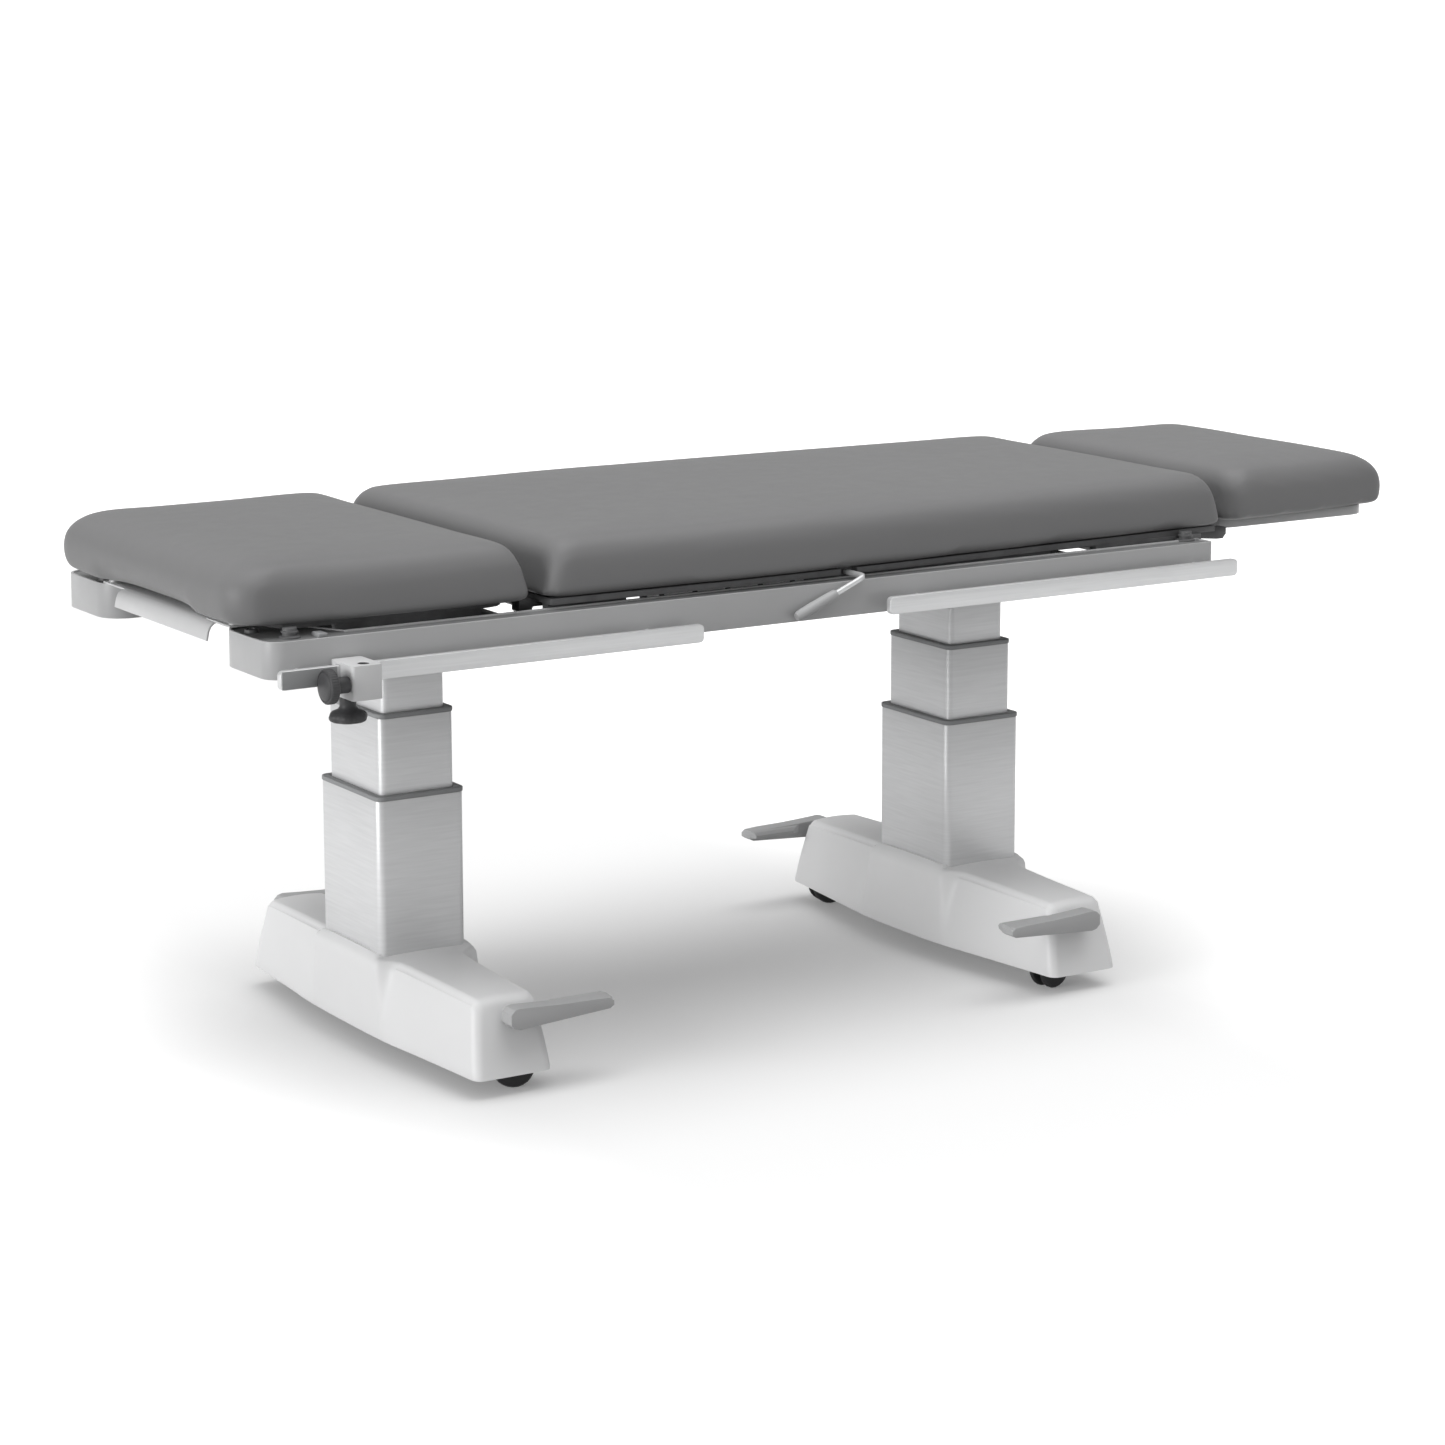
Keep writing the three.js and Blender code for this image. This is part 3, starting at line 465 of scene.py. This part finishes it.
def base_cover(side, sx):
    R = 13.0
    ys = []
    for a in (90, 72, 54, 36, 18, 0):
        ys.append((356 - R + R * math.sin(math.radians(a)), R * (1 - math.cos(math.radians(a)))))
    for y in (330, 300, 270, 240, 210, 185, 165, 152, 145, 139, 134, 129, 125, 121, 117, 113, 109, 105, 102, 100, 98.6, 97.2, 95.8, 94, 90, 84, 76, 60, 40, 20):
        ys.append((y, 0.0))
    st = [(-y, i) for y, i in ys] + [(0.0, 0.0)] + [(y, i) for y, i in reversed(ys)]
    rings = []
    for y, inset in st:
        wo, wi, wt, zt = table(BASE_T, abs(y))
        zt -= inset
        half = []
        for wb, sgn in ((wo, -1), (wi, 1)):
            wb, w2 = wb - inset, wt - inset
            pts = []
            for s in (0, 0.04, 0.12, 0.24, 0.38, 0.52, 0.66, 0.78, 0.87, 0.92):
                x = wb + (w2 + 2.0 - wb) * (0.55 * s + 0.45 * s ** 2.2)
                if s == 0:
                    x -= 1.2
                pts.append((sgn * x, 20 + (zt - 20) * s))
            # rounded shoulder edge
            for a in (15, 35, 55, 75, 90):
                t = math.radians(a)
                pts.append((sgn * (w2 - 8 + 9.2 * math.cos(t)), zt - 9 + 9 * math.sin(t)))
            half.append(pts)
        left, right = half
        w2 = wt - inset
        mid = [(k * (w2 - 8), zt + 2.2 * (1 - k * k)) for k in (-0.93, -0.7, -0.47, -0.235, 0.0, 0.235, 0.47, 0.7, 0.93)]
        sec = left + mid + list(reversed(right))
        ring = []
        for x, z in sec:
            yy = y * (1 - 0.0758 * max(0.0, z - 20) / 106)
            # arched rim that the column stands in
            rim = 0.0
            if abs(y) < 130 and z > 125:
                dx, dy = max(0.0, abs(x) - 70), max(0.0, abs(y) - 93)
                d = min(1.0, max(0.0, (math.hypot(dx, dy) - 2.6) / 3.4))
                rim = 3.0 * (1 - d * d * (3 - 2 * d))
            ring.append((x, yy, z + rim))
        rings.append(ring)
    n = len(rings[0])
    rot = 1 if sx < 0 else -1
    verts = [D(sx * 486 + rot * x, rot * y, z) for r in rings for x, y, z in r]
    # the opening that the column stands in: its edge lies inside the column's wall
    flat = [v for r in rings for v in r]
    inside = [z > 120 and math.hypot(max(0.0, abs(x) - 57.4), max(0.0, abs(y) - 80.5)) <= 10.6 for x, y, z in flat]
    faces = []
    for k in range(len(rings) - 1):
        for i in range(n - 1):
            f = (k * n + i, k * n + i + 1, (k + 1) * n + i + 1, (k + 1) * n + i)
            if not all(inside[j] for j in f):
                faces.append(f)
    faces.append(tuple(range(n)))
    faces.append(tuple((len(rings) - 1) * n + i for i in reversed(range(n))))
    me = bpy.data.meshes.new(f"{side}_base_shell")
    me.from_pydata([tuple(v) for v in verts], [], faces)
    me.update()
    ob = bpy.data.objects.new(f"{side}_base_shell", me)
    bpy.context.collection.objects.link(ob)
    bm = bmesh.new()
    bm.from_mesh(me)
    bmesh.ops.recalc_face_normals(bm, faces=bm.faces)
    # open shell: make sure the skin faces out before it gets its thickness
    top = max(bm.faces, key=lambda f: f.calc_center_median().z)
    if top.normal.z < 0:
        bmesh.ops.reverse_faces(bm, faces=bm.faces)
    bm.to_mesh(me)
    bm.free()
    me.materials.append(MT["moulding"])
    m = ob.modifiers.new("wall", "SOLIDIFY")
    m.thickness = 0.0035
    m.offset = -1
    apply_modifier(ob, "wall")
    finish_mesh(ob, 40)
    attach(ob, f"{side}_base")
    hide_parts(f"{side}_base_cover")
    return ob


for side, sx in (("left", -1), ("right", 1)):
    base_cover(side, sx)
    for part in ("top_stage", "mid_stage", "outer_stage"):
        refine(f"{side}_{part}", "alu", 0.8, 2, 60, 25)
    refine(f"{side}_mid_collar", "collar", 1.2, 2, 60)
    refine(f"{side}_outer_collar", "collar", 1.2, 2, 60)
    refine(f"{side}_lift_drive", "black", 1.0)
    refine(f"{side}_chassis", "darksteel", 1.0)
    refine(f"{side}_brake_shaft", "rail", 0.4)
    refine(f"{side}_column_head", "darksteel", 1.5)
    for end in ("near", "far"):
        refine(f"{side}_brake_pedal_{end}", "pedal", 4.0, 4, 30, 40)
        refine(f"{side}_castor_fork_{end}", "black", 1.5, 3)
        refine(f"{side}_castor_wheels_{end}", "tread", 0.6, 2, 40)
    refine(f"{side}_gas_spring_cylinder", "black", 0.8)
    refine(f"{side}_gas_spring_rod", "rail", 0.5)

# ------------------------------------------------------------------ frame
for n in ("side_member_near", "side_member_far"):
    refine(n, "paint", 3.2, 4, 40, 36)
refine("left_cross_member", "darksteel", 2)
refine("right_cross_member", "darksteel", 2)
refine("end_handle_plate", "clamp", 1.0, 2, 50, 50)
for n in ("side_rail_near_left", "side_rail_near_right", "side_rail_far_left", "side_rail_far_right"):
    refine(n, "rail", 1.6, 3, 50, 36)
refine("left_hinge_bar", "black", 1.2)
refine("right_hinge_bar", "black", 1.2)
refine("centre_deck", "deck", 0.8, 2)
refine("left_deck", "deck", 0.8, 2)
refine("right_tray", "paint", 1.2, 2, 50)
refine("release_lever_rod", "rail", 0.0, 1, 60, 50)
refine("release_lever_grip", "grip", 1.0, 2, 60, 50)
refine("clamp_body", "clamp", 2.2, 4, 50, 40)


def knob(name, node, profile, at, axis, lobes, depth):
    """A turned knob whose rim, the points marked 1, is fluted."""
    n = 120
    verts, faces, rings = [], [], []
    for r, h, fl in profile:
        if r < 1e-6:
            rings.append([len(verts)])
            verts.append((0, 0, h))
            continue
        rings.append(list(range(len(verts), len(verts) + n)))
        for i in range(n):
            t = 2 * math.pi * i / n
            rr = r - fl * depth * (0.5 - 0.5 * math.cos(lobes * t)) ** 1.5
            verts.append((rr * math.cos(t), rr * math.sin(t), h))
    for a, b in zip(rings, rings[1:]):
        for i in range(n):
            j = (i + 1) % n
            if len(a) == 1:
                faces.append((a[0], b[i], b[j]))
            elif len(b) == 1:
                faces.append((a[i], b[0], a[j]))
            else:
                faces.append((a[i], a[j], b[j], b[i]))
    pts = [D(at[0] + (z if axis == "x" else x), at[1] + (x if axis == "x" else y), at[2] + (y if axis == "x" else z)) for x, y, z in verts]
    ob = add_mesh(name, pts, faces, "knob", body_of(node), 40)
    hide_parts(node)
    return ob


# heights run out from the clamp's face
knob("post_knob_turned", "clamp_post_knob",
     [(0, 14.5, 0), (4.6, 14.5, 0), (4.6, -0.8, 0), (10.5, -0.8, 0), (11, -2, 0), (11, -21, 0), (13, -22, 0), (21.6, -22.2, 0), (22.8, -23, 1), (23.2, -24.4, 1),
      (23.2, -31.8, 1), (22.8, -33.2, 1), (21.6, -34.2, 0), (20.4, -34.4, 0), (19.8, -33.6, 0), (19.2, -33.6, 0), (18.6, -34.6, 0), (17.4, -35.6, 0), (13, -36.3, 0), (0, -36.5, 0)],
     (-747, -397, 598), "x", 40, 0.7)
knob("rail_knob_star", "clamp_rail_knob",
     [(0, 16.4, 0), (4.6, 16.4, 0), (4.6, -0.8, 0), (11.4, -0.8, 0), (11.8, -2, 0), (11, -9, 0), (11.2, -14, 0), (13.5, -17.5, 0), (18, -19.6, 0.2), (22.5, -21.4, 0.6), (25.6, -24, 1),
      (26.8, -27, 1), (26.6, -29.6, 1), (25, -32, 0.8), (21, -34, 0.4), (14, -35.2, 0), (0, -35.6, 0)],
     (-734, -368, 577), "z", 6, 3.2)
# a thin dark tube lining the hole in the clamp's top, which darkens the inside of the hole
lathe("clamp_hole_dark_tube", [(7.9, 0.5), (7.9, 45.6), (7.1, 45.6), (7.1, 0.5)], (-723, -393, 577), "z", "darksteel", "clamp", 32)
# a thin dark sheet laid on the front face of the near rail's end, left of the clamp
slab("rail_end_dark_sheet", -829.5, -751, -373.3, -372.2, 594.6, 618.4, "collar", "upper_frame", 0.2)

# painted shade: a thin dark sheet laid in the recess on top of each side member, which darkens the recess under the
# pad
def recess_shade_sheet(side, s):
    pts = []

    def arc(cx, cy, r, a0, a1, n):
        for k in range(n + 1):
            t = math.radians(a0 + (a1 - a0) * k / n)
            pts.append((cx + r * math.cos(t), cy + r * math.sin(t)))

    i = 6.5
    arc(-807, -315, 26 - i, 180, 270, 10)
    arc(722, -334, 2.0, 270, 360, 4)
    pts.append((729 - i, -301 - i))
    pts.append((-704, -301 - i))
    pts.extend([(-735 - i, -238 - i * 0.5), (-735 - i, -188 - i)])
    arc(-793, -228, 40 - i, 90, 180, 12)
    pts = [(x, -s * y) for x, y in pts]
    n = len(pts)
    verts = [D(x, y, z) for z in (648.05, 649.1) for x, y in pts]
    faces = [tuple(range(n)), tuple(n + k for k in reversed(range(n)))]
    faces += [(k, (k + 1) % n, n + (k + 1) % n, n + k) for k in range(n)]
    add_mesh(f"arm_recess_shade_{side}", verts, faces, "recess_shade_sheet", "upper_frame", 30)


recess_shade_sheet("near", -1)
recess_shade_sheet("far", 1)

# bolts on the arms, dark rings round the buffers, a clip and the trim strip under the centre section
for s in (-1, 1):
    lathe(f"arm_bolt_{'near' if s < 0 else 'far'}", [(0, 0), (9.2, 0), (9.2, 3.6), (8.2, 5.6), (5.2, 6.2), (4.4, 3.4), (0, 3.4)],
          (-812, s * 244, 648), "z", "darksteel", "upper_frame", 28)
    for bx, by in ((-786, 306), (706, 302)):
        lathe(f"buffer_ring_{'near' if s < 0 else 'far'}_{'left' if bx < 0 else 'right'}",
              [(0, 0), (13.5, 0), (14.5, 1.2), (14.5, 3.0), (12.5, 4.2), (9.8, 4.6), (9.8, 7.6), (11.6, 8.2), (11.6, 10.4), (9.8, 11), (9.6, 14.6), (8.8, 15.4), (0, 15.4)],
              (bx, s * by, 648.2), "z", "darksteel", "upper_frame", 32)
slab("arm_clip_near", -756, -742, -330, -308, 648.1, 655, "collar", "upper_frame", 1.5)
slab("arm_clip_far", -756, -742, 308, 330, 648.1, 655, "collar", "upper_frame", 1.5)
for s in (-1, 1):
    w = "near" if s < 0 else "far"
    slab(f"trim_strip_{w}", -236, 22, min(s * 293, s * 296), max(s * 293, s * 296), 644.5, 652.5, "moulding", "upper_frame", 0.8)
    for i, x in enumerate((-214, -160, -106, -52, 2)):
        lathe(f"trim_stud_{w}_{i}", [(0, 0), (4.2, 0), (3.6, 2.2), (0, 2.8)], (x, s * 296, 649.5), "y", "black", "upper_frame", 16) if s > 0 else \
            lathe(f"trim_stud_{w}_{i}", [(0, 0), (4.2, 0), (3.6, -2.2), (0, -2.8)], (x, s * 296, 649.5), "y", "black", "upper_frame", 16)

# ------------------------------------------------------------------ floor, light, camera
me = bpy.data.meshes.new("floor")
me.from_pydata([(-150, -150, 0), (150, -150, 0), (150, 150, 0), (-150, 150, 0)], [], [(0, 1, 2, 3)])
floor = bpy.data.objects.new("floor", me)
bpy.context.collection.objects.link(floor)
fm, fnt, fb = new_mat("floor_pale", (0.79, 0.79, 0.79), 0.85, spec=0.1)
me.materials.append(fm)
# painted light: the floor glows, which lightens every shadow on it and washes them out to white beyond both ends of
# the couch
fx = fnt.nodes.new("ShaderNodeSeparateXYZ")
ftc = fnt.nodes.new("ShaderNodeTexCoord")
fnt.links.new(ftc.outputs["Object"], fx.inputs["Vector"])
off = fnt.nodes.new("ShaderNodeMath")
off.operation = "SUBTRACT"
off.inputs[1].default_value = OFF.x
fnt.links.new(fx.outputs["X"], off.inputs[0])
side_off = fnt.nodes.new("ShaderNodeMath")
side_off.operation = "ABSOLUTE"
fnt.links.new(off.outputs[0], side_off.inputs[0])
shadow_lifting_glow = fnt.nodes.new("ShaderNodeMapRange")
shadow_lifting_glow.interpolation_type = "SMOOTHSTEP"
shadow_lifting_glow.inputs["From Min"].default_value, shadow_lifting_glow.inputs["From Max"].default_value = 0.46, 0.95
shadow_lifting_glow.inputs["To Min"].default_value, shadow_lifting_glow.inputs["To Max"].default_value = 0.12, 0.50
fnt.links.new(side_off.outputs[0], shadow_lifting_glow.inputs["Value"])
fb.inputs["Emission Color"].default_value = (1, 1, 1, 1)
fnt.links.new(shadow_lifting_glow.outputs["Result"], fb.inputs["Emission Strength"])

world = bpy.data.worlds.new("studio")
bpy.context.scene.world = world
world.use_nodes = True
wn = world.node_tree
bg = wn.nodes["Background"]
bg.inputs["Color"].default_value = (1, 1, 1, 1)
bg.inputs["Strength"].default_value = 1.0
seen = wn.nodes.new("ShaderNodeBackground")
seen.inputs["Color"].default_value = (1, 1, 1, 1)
seen.inputs["Strength"].default_value = 1.0
# even light from above, less from below
SKY, BELOW = 0.57, 0.24
tc = wn.nodes.new("ShaderNodeTexCoord")
xyz = wn.nodes.new("ShaderNodeSeparateXYZ")
wn.links.new(tc.outputs["Generated"], xyz.inputs["Vector"])
upper = wn.nodes.new("ShaderNodeMapRange")
upper.inputs["From Min"].default_value, upper.inputs["From Max"].default_value = -0.12, 0.04
upper.inputs["To Min"].default_value, upper.inputs["To Max"].default_value = BELOW, SKY
wn.links.new(xyz.outputs["Z"], upper.inputs["Value"])
wn.links.new(upper.outputs["Result"], bg.inputs["Strength"])
lp = wn.nodes.new("ShaderNodeLightPath")
mix = wn.nodes.new("ShaderNodeMixShader")
wn.links.new(lp.outputs["Is Camera Ray"], mix.inputs["Fac"])
wn.links.new(bg.outputs["Background"], mix.inputs[1])
wn.links.new(seen.outputs["Background"], mix.inputs[2])
wn.links.new(mix.outputs["Shader"], wn.nodes["World Output"].inputs["Surface"])


def sun(name, direction, strength, angle):
    l = bpy.data.lights.new(name, "SUN")
    l.energy = strength
    l.angle = math.radians(angle)
    ob = bpy.data.objects.new(name, l)
    bpy.context.collection.objects.link(ob)
    ob.rotation_mode = "QUATERNION"
    ob.rotation_quaternion = Vector(direction).to_track_quat("Z", "Y")


sun("key", (0.12, -0.08, 0.98), 1.57, 60)
sun("left_fill", (-0.985, -0.06, 0.13), 2.3, 36)
floor.visible_diffuse = False

PX = 1445.0
cam_data = bpy.data.cameras.new("camera")
cam = bpy.data.objects.new("camera", cam_data)
bpy.context.collection.objects.link(cam)
bpy.context.scene.camera = cam
cam.location = D(-2870.1, -4709.5, 1544.0)
yaw, pitch, roll = math.radians(31.98), math.radians(9.584), math.radians(-0.105)
fw = Vector((math.sin(yaw) * math.cos(pitch), math.cos(yaw) * math.cos(pitch), -math.sin(pitch)))
rt = Vector((math.cos(yaw), -math.sin(yaw), 0))
up = rt.cross(fw)
rt2, up2 = rt * math.cos(roll) + up * math.sin(roll), up * math.cos(roll) - rt * math.sin(roll)
cam.rotation_mode = "QUATERNION"
cam.rotation_quaternion = Matrix((rt2, up2, -fw)).transposed().to_quaternion()
cam_data.sensor_width = 36.0
cam_data.lens = 3774.6 / PX * 36.0
cam_data.shift_y = -0.1
cam_data.clip_start, cam_data.clip_end = 0.1, 500
bpy.context.scene.view_settings.view_transform = "Standard"
bpy.context.scene.view_settings.look = "None"
